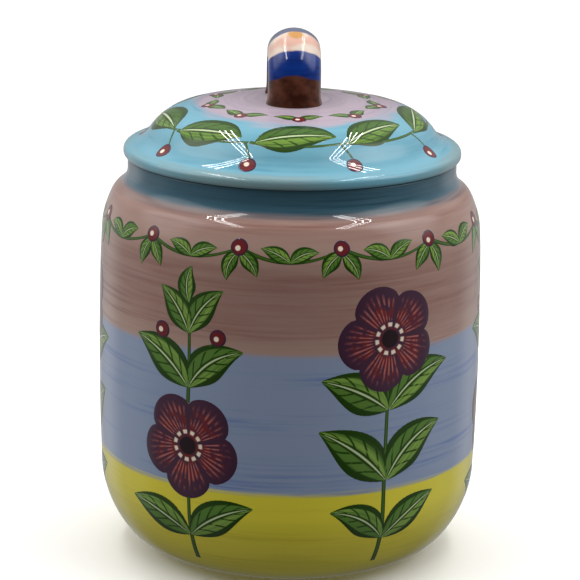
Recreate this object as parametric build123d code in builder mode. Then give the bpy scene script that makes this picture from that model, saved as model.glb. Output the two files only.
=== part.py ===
from build123d import *

import os
from math import atan2, cos, degrees, hypot, radians, sin, tan

# Lidded storage jar in glazed earthenware, in millimetres.
# The jar stands on its foot ring with the middle of the foot at the origin.
# The front is -Y, and the loop handle runs from front to back.

# Jar: outside
body_diameter = 178.0
seat_height = 187.0
foot_diameter = 112.0
foot_rise = 1.5
heel_height = 42.0
belly = 0.9
belly_blend_radius = 300.0
shoulder_height = 24.5
neck_diameter = 152.0
neck_rise = 12.5
neck_root_radius = 3.0

# Jar: walls, floor and foot ring
wall = 5.0
floor_thickness = 6.5
foot_land = 6.0
foot_recess = 2.0
foot_draft = 2.0
foot_edge_radius = 0.7
neck_wall = 5.0
throat_radius = 3.5
lip_radius = 1.3

# Lid: rim, flared side and crown
rim_overhang = 2.0
rim_thickness = 4.8
rim_top_radius = 2.6
rim_under_radius = 1.9
rim_width = 8.3
rim_fall = 12.0
flare_radius = 16.0
slope_angle = 55.0
slope_run = 9.9
crown_rise = 6.3
knee_radius = 26.0
lid_wall = 5.0

# Lid: locating ring that drops into the neck
ring_clearance = 1.2
ring_wall = 4.8
ring_depth = 9.0
ring_tip_radius = 1.8
ring_root_radius = 3.0

# Loop handle
handle_length = 45.0
handle_height = 32.0
handle_width = 24.2
handle_crown = 10.0
handle_palm = 3.2
handle_flare = 0.8
handle_flare_height = 4.0
handle_root_depth = 3.0
handle_turn = 2.0

# Heights and radii that follow from the sizes above
body_radius = body_diameter / 2
foot_radius = foot_diameter / 2
foot_inner_radius = foot_radius - foot_land
neck_radius = neck_diameter / 2
bore_radius = neck_radius - neck_wall
upright_radius = body_radius - belly
heel_top = foot_rise + heel_height
shoulder_top = seat_height - neck_rise
shoulder_base = shoulder_top - shoulder_height
belly_height = (heel_top + shoulder_base) / 2
cavity_top = shoulder_top - wall

rim_radius = neck_radius + rim_overhang
rim_height = seat_height + rim_thickness
slope_foot_radius = rim_radius - rim_width
slope_foot_height = rim_height + rim_width * tan(radians(rim_fall))
knee_plan_radius = slope_foot_radius - slope_run
knee_height = slope_foot_height + slope_run * tan(radians(slope_angle))
crown_height = knee_height + crown_rise

ring_radius = bore_radius - ring_clearance
ring_inner_radius = ring_radius - ring_wall
ring_bottom = seat_height - ring_depth
hollow_knee_radius = knee_plan_radius - lid_wall * tan(radians(slope_angle) / 2)
hollow_knee_height = knee_height - lid_wall
hollow_run = ring_inner_radius - hollow_knee_radius
hollow_foot_height = hollow_knee_height - hollow_run * tan(radians(slope_angle))
hollow_crown_height = crown_height - lid_wall

arch_radius = handle_length / 2 - handle_crown
arch_height = crown_height + handle_height - handle_length / 2
flare_top = crown_height + handle_flare_height


def oval_quarter(centre, across, upright, right=1, up=1):
    """Quarter of an oval in two tangent arcs, one from its side and one over its tip.

    The arcs meet where the line square to the quarter's chord crosses both centres, so they come
    close to an ellipse. right and up are 1 or -1, and say which quarter it is.
    """
    chord = hypot(across, upright)
    side_radius = (chord + upright - across) / 2 * chord / across
    tip_radius = (chord + across - upright) / 2 * chord / upright
    side_centre = (centre[0] + right * (across - side_radius), centre[1])
    tip_centre = (centre[0], centre[1] + up * (upright - tip_radius))
    side_angle = degrees(atan2(across, upright))
    start = 90 - 90 * right
    turn = right * up
    CenterArc(side_centre, side_radius, start, turn * side_angle)
    CenterArc(tip_centre, tip_radius, start + turn * side_angle, turn * (90 - side_angle))


def round_corners(*corners):
    """Rounds corners of the sketch in hand, each given as its point and its radius."""
    for point, radius in corners:
        fillet(vertices().sort_by_distance(point)[0], radius)


# Jar body
# The outside climbs a quarter oval from the foot to the upright wall, which bellies out a little,
# and closes over a second quarter oval to the neck. The inside follows it one wall in.
with BuildPart() as jar_body:
    with BuildSketch(Plane.XZ):
        with BuildLine():
            Polyline(
                (0, foot_recess),
                (foot_inner_radius - foot_draft, foot_recess),
                (foot_inner_radius, 0),
                (foot_radius, 0),
                (foot_radius, foot_rise),
            )
            oval_quarter((foot_radius, heel_top), upright_radius - foot_radius, heel_height, up=-1)
            ThreePointArc(
                (upright_radius, heel_top), (body_radius, belly_height), (upright_radius, shoulder_base)
            )
            oval_quarter((neck_radius, shoulder_base), upright_radius - neck_radius, shoulder_height)
            Polyline(
                (neck_radius, shoulder_top),
                (neck_radius, seat_height),
                (bore_radius, seat_height),
                (bore_radius, cavity_top),
            )
            oval_quarter(
                (bore_radius, shoulder_base), upright_radius - wall - bore_radius, cavity_top - shoulder_base
            )
            ThreePointArc(
                (upright_radius - wall, shoulder_base),
                (body_radius - wall, belly_height),
                (upright_radius - wall, heel_top),
            )
            oval_quarter(
                (foot_radius, heel_top),
                upright_radius - wall - foot_radius,
                heel_top - floor_thickness,
                up=-1,
            )
            Polyline((foot_radius, floor_thickness), (0, floor_thickness), (0, foot_recess))
        make_face()
        round_corners(
            ((foot_inner_radius, 0), foot_edge_radius),
            ((foot_radius, 0), foot_edge_radius),
            ((upright_radius, heel_top), belly_blend_radius),
            ((upright_radius, shoulder_base), belly_blend_radius),
            ((neck_radius, shoulder_top), neck_root_radius),
            ((neck_radius, seat_height), lip_radius),
            ((bore_radius, seat_height), lip_radius),
            ((bore_radius, cavity_top), throat_radius),
            ((upright_radius - wall, shoulder_base), belly_blend_radius - wall),
            ((upright_radius - wall, heel_top), belly_blend_radius - wall),
        )
    revolve(axis=Axis.Z)

# Lid
# The dome is the outside of the lid as a solid: the round-edged rim, whose top rises inwards and
# sweeps up into the steep side, and the low crown over a round knee. The lid is the dome with the
# locating ring below it and the hollow taken out.
with BuildPart() as dome:
    with BuildSketch(Plane.XZ):
        with BuildLine():
            TangentArc((0, crown_height), (knee_plan_radius, knee_height), tangent=(1, 0))
            Polyline(
                (knee_plan_radius, knee_height),
                (slope_foot_radius, slope_foot_height),
                (rim_radius, rim_height),
                (rim_radius, seat_height),
                (0, seat_height),
                (0, crown_height),
            )
        make_face()
        round_corners(
            ((knee_plan_radius, knee_height), knee_radius),
            ((slope_foot_radius, slope_foot_height), flare_radius),
            ((rim_radius, rim_height), rim_top_radius),
            ((rim_radius, seat_height), rim_under_radius),
        )
    revolve(axis=Axis.Z)

with BuildPart() as lid:
    add(dome.part)
    with BuildSketch(Plane.XZ):
        with Locations((ring_inner_radius, ring_bottom)):
            Rectangle(ring_wall, ring_depth, align=(Align.MIN, Align.MIN))
        round_corners(
            ((ring_inner_radius, ring_bottom), ring_tip_radius),
            ((ring_radius, ring_bottom), ring_tip_radius),
        )
    revolve(axis=Axis.Z)
    with BuildSketch(Plane.XZ):
        with BuildLine():
            TangentArc(
                (0, hollow_crown_height), (hollow_knee_radius, hollow_knee_height), tangent=(1, 0)
            )
            Polyline(
                (hollow_knee_radius, hollow_knee_height),
                (ring_inner_radius, hollow_foot_height),
                (ring_inner_radius, seat_height),
                (0, seat_height),
                (0, hollow_crown_height),
            )
        make_face()
        round_corners(
            ((hollow_knee_radius, hollow_knee_height), knee_radius - lid_wall),
            ((ring_inner_radius, hollow_foot_height), ring_root_radius),
        )
    revolve(axis=Axis.Z, mode=Mode.SUBTRACT)


# Loop handle
# A thick strap, rounded outside and flatter on the palm side: two legs and a half-round arch. Its
# feet flare, and the dome cuts them, so that they seat on the crown over their whole face.
back = Vector(-sin(radians(handle_turn)), cos(radians(handle_turn)), 0)
arch_axis = Axis(origin=(0, 0, arch_height), direction=back.cross(Vector(0, 0, 1)))


def strap_section(height, swell=0):
    """Sketch of the strap's section across the back leg at a height, swollen on every side."""
    half_width = handle_width / 2 + swell
    with BuildSketch(Plane(origin=back * arch_radius + Vector(0, 0, height), x_dir=back)) as section:
        with BuildLine():
            oval_quarter((0, 0), handle_crown + swell, half_width)
            oval_quarter((0, 0), handle_palm + swell, half_width, right=-1)
            mirror(about=Plane.XZ)
        make_face()
    return section.sketch


with BuildPart() as lid_handle:
    for height in (-handle_root_depth, 0, handle_flare_height / 2, handle_flare_height):
        share = 1 - max(height, 0) / handle_flare_height
        add(strap_section(crown_height + height, handle_flare * share**2))
    loft()
    add(strap_section(flare_top))
    extrude(amount=arch_height - flare_top)
    add(strap_section(arch_height))
    revolve(axis=arch_axis, revolution_arc=90)
    mirror(about=Plane(origin=(0, 0, 0), z_dir=back))
    add(dome.part, mode=Mode.SUBTRACT)

os.makedirs("parts", exist_ok=True)
for name, piece in (("jar_body", jar_body), ("lid", lid), ("lid_handle", lid_handle)):
    piece.part.label = name
    export_step(piece.part, f"parts/{name}.step")
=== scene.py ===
# %% [markdown]
# # A hand painted storage jar
# This lesson dresses a lidded kitchen jar. The real one is earthenware, cast in plaster moulds: a
# round-shouldered jar, a domed lid that drops into its neck, and a thick loop handle luted onto the
# lid. Bands of underglaze colour are brushed on while it turns on a wheel, motifs are painted over
# them by hand, and a clear glossy glaze seals everything. The three cast shapes are surfaces of
# revolution and a swept strap, so each can be written as a short formula on a grid.

# %% Load the frame
import math

import bpy
import numpy as np
from mathutils import Matrix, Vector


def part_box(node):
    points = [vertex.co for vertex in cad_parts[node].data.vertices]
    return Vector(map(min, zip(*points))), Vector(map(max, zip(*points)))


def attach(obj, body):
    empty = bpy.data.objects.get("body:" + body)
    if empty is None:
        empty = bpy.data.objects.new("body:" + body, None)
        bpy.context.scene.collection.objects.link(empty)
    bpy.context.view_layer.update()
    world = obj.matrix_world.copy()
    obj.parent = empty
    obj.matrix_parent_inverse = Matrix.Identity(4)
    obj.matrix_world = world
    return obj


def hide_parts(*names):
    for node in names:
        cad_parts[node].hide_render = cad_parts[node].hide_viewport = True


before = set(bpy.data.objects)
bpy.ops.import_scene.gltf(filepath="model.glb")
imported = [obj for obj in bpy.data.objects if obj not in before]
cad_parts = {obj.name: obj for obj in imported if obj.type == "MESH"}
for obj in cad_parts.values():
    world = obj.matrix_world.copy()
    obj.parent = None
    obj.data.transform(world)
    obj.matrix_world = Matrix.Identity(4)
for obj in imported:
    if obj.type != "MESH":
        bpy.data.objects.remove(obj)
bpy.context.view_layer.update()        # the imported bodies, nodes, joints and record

# %% [markdown]
# ## Sizes
# Everything is in metres, as the frame is. The overall sizes are measured on the frame, so that they
# can't drift from it. The rest are the sizes of the plaster moulds, written in millimetres.

# %% Measure the frame
MM = 0.001
jar_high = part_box("jar_body")[1]
lid_low, lid_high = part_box("lid")

BODY_RADIUS = jar_high.x
SEAT_HEIGHT = jar_high.z
RIM_RADIUS = lid_high.x
CROWN_HEIGHT = lid_high.z
RING_BOTTOM = lid_low.z
HANDLE_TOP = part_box("lid_handle")[1].z

# %% Sizes of the jar's mould
BELLY = 0.9 * MM
BELLY_BLEND = 5.0 * MM
UPRIGHT_RADIUS = BODY_RADIUS - BELLY
FOOT_RADIUS = 56.0 * MM
FOOT_LAND = 6.0 * MM
FOOT_RECESS = 2.0 * MM
FOOT_DRAFT = 2.0 * MM
FOOT_RISE = 1.5 * MM
FOOT_EDGE = 0.7 * MM
HEEL_TOP = FOOT_RISE + 42.0 * MM
NECK_RADIUS = 76.0 * MM
NECK_SLOPE = math.radians(35.0)
NECK_SWEEP = 4.9 * MM
SHOULDER_TOP = SEAT_HEIGHT - 12.5 * MM
SHOULDER_BASE = SHOULDER_TOP - 24.5 * MM
WALL = 5.0 * MM
FLOOR = 6.5 * MM
LIP = 1.3 * MM
THROAT = 3.5 * MM
BORE_RADIUS = NECK_RADIUS - WALL
CAVITY_TOP = SHOULDER_TOP - WALL

# %% Sizes of the lid's mould
RIM_HEIGHT = SEAT_HEIGHT + 4.8 * MM
RIM_WIDTH = 8.3 * MM
RIM_FALL = math.radians(12.0)
SLOPE = math.radians(55.0)
SLOPE_RUN = 9.9 * MM
SLOPE_FOOT_RADIUS = RIM_RADIUS - RIM_WIDTH
SLOPE_FOOT_HEIGHT = RIM_HEIGHT + RIM_WIDTH * math.tan(RIM_FALL)
KNEE_RADIUS = SLOPE_FOOT_RADIUS - SLOPE_RUN
KNEE_HEIGHT = SLOPE_FOOT_HEIGHT + SLOPE_RUN * math.tan(SLOPE)
RING_RADIUS = BORE_RADIUS - 1.2 * MM
RING_INNER = RING_RADIUS - 4.8 * MM
RING_TIP = 1.8 * MM
RIM_UNDER, RIM_EDGE = 1.9 * MM, 2.1 * MM
SLOPE_FOOT_BLEND, KNEE_BLEND = 6.3 * MM, 10.7 * MM
HOLLOW_FOOT_BLEND, HOLLOW_KNEE_BLEND = 0.95 * MM, 8.6 * MM
HOLLOW_KNEE_RADIUS = KNEE_RADIUS - WALL * math.tan(SLOPE / 2)
HOLLOW_KNEE_HEIGHT = KNEE_HEIGHT - WALL
HOLLOW_FOOT_HEIGHT = HOLLOW_KNEE_HEIGHT - (RING_INNER - HOLLOW_KNEE_RADIUS) * math.tan(SLOPE)

# %% Sizes of the loop handle
HANDLE_LENGTH = 45.0 * MM
HANDLE_WIDTH = 24.2 * MM
HANDLE_OUTSIDE = 10.0 * MM
HANDLE_PALM = 3.2 * MM
HANDLE_FLARE = 0.8 * MM
FLARE_HEIGHT = 4.0 * MM
HANDLE_ROOT = 2.2 * MM
HANDLE_TURN = math.radians(2.0)
ARCH_RADIUS = HANDLE_LENGTH / 2 - HANDLE_OUTSIDE
ARCH_HEIGHT = HANDLE_TOP - HANDLE_LENGTH / 2
print("jar across", round(2 * BODY_RADIUS / MM, 1), "mm, handle top", round(HANDLE_TOP / MM, 1), "mm")

# %% [markdown]
# ## Camera
# The jar is seen from a little above, through a long lens: the ellipses of its mouth and bands stay
# nearly the same shape from the lid to the foot. The camera stands 1.2 m away and leans by one
# degree, as a hand-held one does.

# %% Camera
CAMERA_PLACE = (0.0, -1.2107, 0.4404)
CAMERA_PITCH = math.radians(-14.725)
CAMERA_ROLL = math.radians(0.97)
LENS, SENSOR = 165.8, 36.0


def placed(name, data):
    """A new object with this data, linked to the scene."""
    piece = bpy.data.objects.new(name, data)
    bpy.context.scene.collection.objects.link(piece)
    return piece


camera_data = bpy.data.cameras.new("camera")
camera_data.lens = LENS
camera_data.sensor_width = SENSOR
camera = placed("camera", camera_data)
bpy.context.scene.camera = camera
camera.matrix_world = (
    Matrix.Translation(CAMERA_PLACE)
    @ Matrix.Rotation(math.pi / 2 + CAMERA_PITCH, 4, "X")
    @ Matrix.Rotation(CAMERA_ROLL, 4, "Z")
)

# %% [markdown]
# ## Outlines
# A mould's outline is drawn as a path of points, radius and height. Straight runs and quarters of an
# oval join at corners, and each corner is then softened, as a sponge softens the cast clay. An outline
# stops just short of the axis, where a fan of faces will close it.

# %% Outline helpers
JAR_POLE, LID_POLE = 2.0 * MM, 1.0 * MM      # how far from the axis the outlines stop
FLAT_STEP, RUN_STEP, LID_STEP, SWEEP_STEP = 12.0 * MM, 2.5 * MM, 1.5 * MM, 1.0 * MM
SAME_POINT, JUST_PAST = 1e-6, 1e-7           # metres, far below any size of the jar


def arc(centre, radius, start, turn, steps=24):
    """Points of a circle's arc: centre + radius (cos t, sin t), t from start through turn, in degrees."""
    t = np.radians(np.linspace(start, start + turn, steps))
    return np.stack([centre[0] + radius * np.cos(t), centre[1] + radius * np.sin(t)], 1)


def oval_quarter(centre, across, upright, right=1, up=1):
    """A quarter of an oval from its side to its tip: two arcs that meet square to the quarter's chord."""
    chord = math.hypot(across, upright)
    side = (chord + upright - across) / 2 * chord / across
    tip = (chord + across - upright) / 2 * chord / upright
    start, turn = 90 - 90 * right, right * up
    meet = math.degrees(math.atan2(across, upright))
    return np.concatenate([
        arc((centre[0] + right * (across - side), centre[1]), side, start, turn * meet),
        arc((centre[0], centre[1] + up * (upright - tip)), tip, start + turn * meet, turn * (90 - meet)),
    ])


def bow(start, end, rise, steps=24):
    """A shallow bow: the straight line from start to end plus rise * (1 - s^2) outwards, s from -1 to 1."""
    s = np.linspace(-1.0, 1.0, steps)[:, None]
    line = np.array(start) * (1 - s) / 2 + np.array(end) * (1 + s) / 2
    return line + np.array([[rise, 0.0]]) * (1 - s**2)


def run(*corners, spacing=RUN_STEP):
    """Straight runs through the corners, with points at about this spacing."""
    corners = np.array(corners)
    return np.concatenate([
        np.linspace(a, b, max(2, int(np.linalg.norm(b - a) / spacing) + 1))
        for a, b in zip(corners[:-1], corners[1:])
    ])


def length_along(path):
    """The distance of each point of a path from its first, measured along it."""
    return np.concatenate([[0.0], np.cumsum(np.linalg.norm(np.diff(path, axis=0), axis=1))])


def joined(*parts):
    """Parts of an outline in one path, without the points that repeat."""
    path = np.concatenate(parts)
    gaps = np.linalg.norm(np.diff(path, axis=0), axis=1)
    return path[np.concatenate([[True], gaps > SAME_POINT])]


def soften(path, *corners):
    """Replaces corners, each given by its place, its reach and the points of its arc.

    The arc leaves the path one reach before the corner and joins it one reach after. It is the
    quadratic Bezier curve with weight w on the corner, where w is half the chord over the reach;
    between straight runs that makes it a circle's arc.
    """
    for corner, reach, steps in corners:
        length = length_along(path)
        at = length[np.argmin(np.linalg.norm(path - np.array(corner), axis=1))]
        first, last = at - reach, at + reach
        ends = np.stack([np.interp([first, last], length, path[:, k]) for k in (0, 1)], 1)
        weight = np.linalg.norm(ends[1] - ends[0]) / 2 / reach
        t = np.linspace(0.0, 1.0, steps)[:, None]
        parts = (1 - t) ** 2, 2 * weight * (1 - t) * t, t**2
        curve = (parts[0] * ends[0] + parts[1] * np.array(corner) + parts[2] * ends[1]) / sum(parts)
        path = np.concatenate([path[length < first - JUST_PAST], curve, path[length > last + JUST_PAST]])
    return path


# %% [markdown]
# Where the shoulder meets the neck, the slip drains slowly and leaves the corner full, so the wall
# sweeps up into the neck over a slope. That hollow sweep is what bends a lamp's streak into a chevron.

# %% Outline of the jar, from the middle of the recess underneath to the middle of the floor
shoulder = oval_quarter(
    (NECK_RADIUS, SHOULDER_BASE), UPRIGHT_RADIUS - NECK_RADIUS, SHOULDER_TOP - SHOULDER_BASE,
)
climb = np.arctan2(np.diff(shoulder[:, 1]), -np.diff(shoulder[:, 0]))
shoulder = shoulder[:np.argmax(climb < NECK_SLOPE) + 1]
rise = (shoulder[-1, 0] - NECK_RADIUS) * math.tan(NECK_SLOPE)
neck_foot = (NECK_RADIUS, shoulder[-1, 1] + rise)
print("slope to the neck from", np.round(shoulder[-1] / MM, 2), "to", np.round(np.array(neck_foot) / MM, 2))

side = bow((UPRIGHT_RADIUS, HEEL_TOP), (UPRIGHT_RADIUS, SHOULDER_BASE), BELLY)
recess = (FOOT_RADIUS - FOOT_LAND - FOOT_DRAFT, FOOT_RECESS)
foot_inner, foot_outer = (FOOT_RADIUS - FOOT_LAND, 0.0), (FOOT_RADIUS, 0.0)
lip_outer, lip_inner = (NECK_RADIUS, SEAT_HEIGHT), (BORE_RADIUS, SEAT_HEIGHT)
throat = (BORE_RADIUS, CAVITY_TOP)
hollow = UPRIGHT_RADIUS - WALL
jar_outline = joined(
    run((JAR_POLE, FOOT_RECESS), recess, spacing=FLAT_STEP),
    run(recess, foot_inner, foot_outer, (FOOT_RADIUS, FOOT_RISE)),
    oval_quarter((FOOT_RADIUS, HEEL_TOP), UPRIGHT_RADIUS - FOOT_RADIUS, HEEL_TOP - FOOT_RISE, up=-1)[::-1],
    side,
    shoulder,
    run(shoulder[-1], neck_foot, spacing=SWEEP_STEP),
    run(neck_foot, lip_outer, lip_inner, throat),
    oval_quarter((BORE_RADIUS, SHOULDER_BASE), hollow - BORE_RADIUS, CAVITY_TOP - SHOULDER_BASE)[::-1],
    side[::-1] - np.array([[WALL, 0.0]]),
    oval_quarter((FOOT_RADIUS, HEEL_TOP), hollow - FOOT_RADIUS, HEEL_TOP - FLOOR, up=-1),
    run((FOOT_RADIUS, FLOOR), (JAR_POLE, FLOOR), spacing=FLAT_STEP),
)
jar_outline = soften(
    jar_outline,
    (foot_inner, FOOT_EDGE, 5),
    (foot_outer, FOOT_EDGE, 5),
    ((UPRIGHT_RADIUS, HEEL_TOP), BELLY_BLEND, 9),
    ((UPRIGHT_RADIUS, SHOULDER_BASE), BELLY_BLEND, 9),
    (neck_foot, NECK_SWEEP, 17),
    (lip_outer, LIP, 9),
    (lip_inner, LIP, 9),
    (throat, THROAT, 9),
)
print("jar outline", len(jar_outline), "points")


# %% Outline of the lid, from the middle of the hollow underneath to the middle of the crown
def crown_arc(knee, top, steps=26):
    """The low crown: a circle's arc about the axis, top - radius + sqrt(radius^2 - r^2)."""
    rise = top - knee[1]
    radius = (knee[0] ** 2 + rise**2) / (2 * rise)
    r = np.linspace(LID_POLE, knee[0], steps)
    return np.stack([r, top - radius + np.sqrt(radius**2 - r**2)], 1)


knee, hollow_knee = (KNEE_RADIUS, KNEE_HEIGHT), (HOLLOW_KNEE_RADIUS, HOLLOW_KNEE_HEIGHT)
hollow_foot, slope_foot = (RING_INNER, HOLLOW_FOOT_HEIGHT), (SLOPE_FOOT_RADIUS, SLOPE_FOOT_HEIGHT)
ring_inner, ring_outer = (RING_INNER, RING_BOTTOM), (RING_RADIUS, RING_BOTTOM)
rim_under, rim_top = (RIM_RADIUS, SEAT_HEIGHT), (RIM_RADIUS, RIM_HEIGHT)
lid_outline = joined(
    crown_arc(hollow_knee, CROWN_HEIGHT - WALL),
    run(
        hollow_knee, hollow_foot, ring_inner, ring_outer, (RING_RADIUS, SEAT_HEIGHT),
        rim_under, rim_top, slope_foot, knee, spacing=LID_STEP,
    ),
    crown_arc(knee, CROWN_HEIGHT)[::-1],
)
lid_outline = soften(
    lid_outline,
    (hollow_knee, HOLLOW_KNEE_BLEND, 14),
    (hollow_foot, HOLLOW_FOOT_BLEND, 9),
    (ring_inner, RING_TIP, 9),
    (ring_outer, RING_TIP, 9),
    (rim_under, RIM_UNDER, 9),
    (rim_top, RIM_EDGE, 13),
    (slope_foot, SLOPE_FOOT_BLEND, 20),
    (knee, KNEE_BLEND, 30),
)
print("lid outline", len(lid_outline), "points")

# %% [markdown]
# ## From a grid to a skin
# Every piece here is a closed skin: rings of points, each ring closed round, and a single point that
# closes each end. The jar's rings are circles about the axis, the handle's are slices of the strap,
# and a painted leaf's are thin slices of a film of colour. One function turns rings into a mesh, and
# it takes many like forms at once.

# %% Skins
SHARP_FROM = math.radians(40.0)


def skin(name, rings, body, materials, paint=None, slots=None):
    """A closed mesh from rings[form, row, around, xyz], with an end point at the mean of each end ring.

    Row i joins row i + 1 by quads, the last point of a ring joins its first, and fans close both ends.
    The faces are turned outwards by the sign of the first form's volume. paint is three numbers for
    each point, kept as the attribute paint; slots gives each row of quads its material's number.
    """
    forms, rows, around = rings.shape[:3]
    ends = np.stack([rings[:, 0].mean(1), rings[:, -1].mean(1)], 1)
    points = np.concatenate([rings.reshape(forms, rows * around, 3), ends], 1)
    row, col = np.meshgrid(np.arange(rows - 1), np.arange(around), indexing="ij")
    here, after = row * around + col, row * around + (col + 1) % around
    quads = np.stack([here, after, after + around, here + around], -1).reshape(-1, 4)
    ring = np.arange(around)
    turned = (ring + 1) % around
    last_row = (rows - 1) * around
    fans = np.concatenate([
        np.stack([np.full(around, rows * around), turned, ring], 1),
        np.stack([np.full(around, rows * around + 1), last_row + ring, last_row + turned], 1),
    ])
    a, b, c, d = (points[0][quads[:, k]] for k in range(4))
    e, f, g = (points[0][fans[:, k]] for k in range(3))
    volume = (np.cross(a, b) * c).sum() + (np.cross(a, c) * d).sum() + (np.cross(e, f) * g).sum()
    if volume < 0:
        quads, fans = quads[:, ::-1], fans[:, ::-1]
    shift = (np.arange(forms) * points.shape[1])[:, None]
    loops = np.concatenate([quads.reshape(1, -1) + shift, fans.reshape(1, -1) + shift], 1).reshape(-1)
    sizes = np.tile(np.repeat([4, 3], [len(quads), len(fans)]), forms)
    mesh = bpy.data.meshes.new(name)
    mesh.vertices.add(forms * points.shape[1])
    mesh.vertices.foreach_set("co", points.reshape(-1).astype(np.float32))
    mesh.loops.add(len(loops))
    mesh.loops.foreach_set("vertex_index", loops.astype(np.int32))
    mesh.polygons.add(len(sizes))
    mesh.polygons.foreach_set("loop_start", (np.cumsum(sizes) - sizes).astype(np.int32))
    mesh.polygons.foreach_set("use_smooth", np.ones(len(sizes), bool))
    if slots is not None:
        by_face = np.concatenate([np.repeat(slots, around), np.repeat(slots[[0, -1]], around)])
        mesh.polygons.foreach_set("material_index", np.tile(by_face, forms).astype(np.int32))
    mesh.update(calc_edges=True)
    if paint is not None:
        end_paint = np.stack([paint[:, 0].mean(1), paint[:, -1].mean(1)], 1)
        values = np.concatenate([paint.reshape(forms, rows * around, 3), end_paint], 1)
        kept = mesh.attributes.new("paint", "FLOAT_VECTOR", "POINT")
        kept.data.foreach_set("vector", values.reshape(-1).astype(np.float32))
    mesh.set_sharp_from_angle(angle=SHARP_FROM)
    for material in materials:
        mesh.materials.append(material)
    piece = placed(name, mesh)
    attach(piece, body)
    print(name, "-", forms, "form(s),", sum(sizes - 2), "triangles")
    return piece


def turned_rings(outline, around=300):
    """An outline turned about the axis: (r cos phi, r sin phi, z) for even steps of phi."""
    phi = np.linspace(0.0, 2 * math.pi, around, endpoint=False)
    r, z = outline[:, :1], outline[:, 1:]
    return np.stack([r * np.cos(phi), r * np.sin(phi), z + 0 * phi], -1)[None]


# %% [markdown]
# ## Colours and glaze
# A glazed pot has two layers to the eye. The colour lies matt under the glaze, and the glaze over it
# is clear glass with its own sharp reflections. The coat of the Principled shader is that glass: its
# IOR is 1.5 and its roughness nearly none. A very shallow bump in the coat stands for the slight
# orange peel that melted glaze keeps, so that reflected lamps have live edges.
#
# One function adds a node. The helpers after it say how paint behaves, and they find the tree of
# nodes through id_data, which every node and socket has.


# %% Material helpers
def linear(code):
    """The linear colour of an sRGB hex code: ((c + 0.055) / 1.055)^2.4, or c / 12.92 when dark."""
    parts = [int(code[k:k + 2], 16) / 255 for k in (1, 3, 5)]
    return tuple(c / 12.92 if c <= 0.04045 else ((c + 0.055) / 1.055) ** 2.4 for c in parts) + (1.0,)


def add(tree, kind, inputs=None, **settings):
    """Adds one shader node, sets its properties, and gives its inputs a number or a link.

    A link comes from a socket, or from a node's first output.
    """
    node = tree.nodes.new("ShaderNode" + kind)
    for key, value in settings.items():
        setattr(node, key, value)
    for key, value in (inputs or {}).items():
        if isinstance(value, bpy.types.Node):
            value = value.outputs[0]
        if isinstance(value, bpy.types.NodeSocket):
            tree.links.new(value, node.inputs[key])
        else:
            node.inputs[key].default_value = value
    return node


def new_material(name):
    """An empty material with its tree, and the object's own coordinates in millimetres."""
    material = bpy.data.materials.new(name)
    material.use_nodes = True
    tree = material.node_tree
    tree.nodes.clear()
    place = add(tree, "TexCoord").outputs["Object"]
    print("material", name)
    return material, tree, add(tree, "VectorMath", {0: place, "Scale": 1 / MM}, operation="SCALE")


def painted(under, *coats):
    """Coats of colour over what is under them, each as thick as its mask says, from 0 to 1."""
    for colour, mask in coats:
        mix = add(mask.id_data, "Mix", {0: mask, 6: under, 7: colour}, data_type="RGBA")
        under = mix.outputs[2]
    return under


def fade(value, start, end, low=0.0, high=1.0):
    """low before the start and high after the end, with a smooth change between them."""
    ends = {0: value, 1: start, 2: end, 3: low, 4: high}
    return add(value.id_data, "MapRange", ends, interpolation_type="SMOOTHSTEP")


def past(value, edge):
    """0 below an edge and 1 above it. An edge is its place and its width, as a soft brush leaves it."""
    place, width = edge
    return fade(value, place - width / 2, place + width / 2)


def within(value, edge):
    """1 below an edge and 0 above it."""
    place, width = edge
    return fade(value, place - width / 2, place + width / 2, 1.0, 0.0)


def both(mask, *others):
    """The product of masks and shares: 1 where all of them hold."""
    for other in others:
        mask = add(mask.id_data, "Math", {0: mask, 1: other}, operation="MULTIPLY")
    return mask


def frayed(value, noise, reach):
    """A value moved to and fro by the noise, through this reach: value + reach (noise - 1/2)."""
    tree = noise.id_data
    moved = add(tree, "Math", {0: noise, 1: reach, 2: value}, operation="MULTIPLY_ADD")
    return add(tree, "Math", {0: moved, 1: reach / 2}, operation="SUBTRACT")


def grain(place, across, detail=3.0, rough=0.55, offset=0.0):
    """Noise from 0 to 1 whose blotches measure across[k] millimetres along each axis.

    A material's second grain gets an offset, so that it doesn't repeat the first.
    """
    tree, scale = place.id_data, tuple(1 / size for size in across)
    moved = add(tree, "Mapping", {"Vector": place, "Location": (offset,) * 3, "Scale": scale})
    return add(tree, "TexNoise", {"Vector": moved, "Scale": 1.0, "Detail": detail, "Roughness": rough})


def from_middle(x, y):
    """The distance of the point (x, y) from the middle."""
    flat = add(x.id_data, "CombineXYZ", {0: x, 1: y})
    return add(x.id_data, "VectorMath", {0: flat}, operation="LENGTH").outputs["Value"]


PEEL_ACROSS, PEEL_DEPTH, PEEL_STRENGTH = (9.0, 9.0, 9.0), 0.02 * MM, 0.35


def glazed(name, brushwork, *colours):
    """Clear glossy glaze over the colour that a function paints from the tree and the place.

    Glass is melted onto the painted clay with no air between, so only the coat mirrors, and the clay
    under it has no gloss of its own. A shallow peel wavers in the coat.
    """
    material, tree, place = new_material(name)
    coarse = grain(place, PEEL_ACROSS, detail=1.5)
    peel = add(tree, "Bump", {"Height": coarse, "Strength": PEEL_STRENGTH, "Distance": PEEL_DEPTH})
    shader = add(tree, "BsdfPrincipled", {
        "Base Color": brushwork(tree, place, *colours),
        "Roughness": 0.6,
        "IOR": 1.5,
        "Specular IOR Level": 0.0,
        "Coat Weight": 1.0,
        "Coat Roughness": 0.012,
        "Coat IOR": 1.5,
        "Coat Normal": peel,
    })
    add(tree, "OutputMaterial", {0: shader})
    return material


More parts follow.
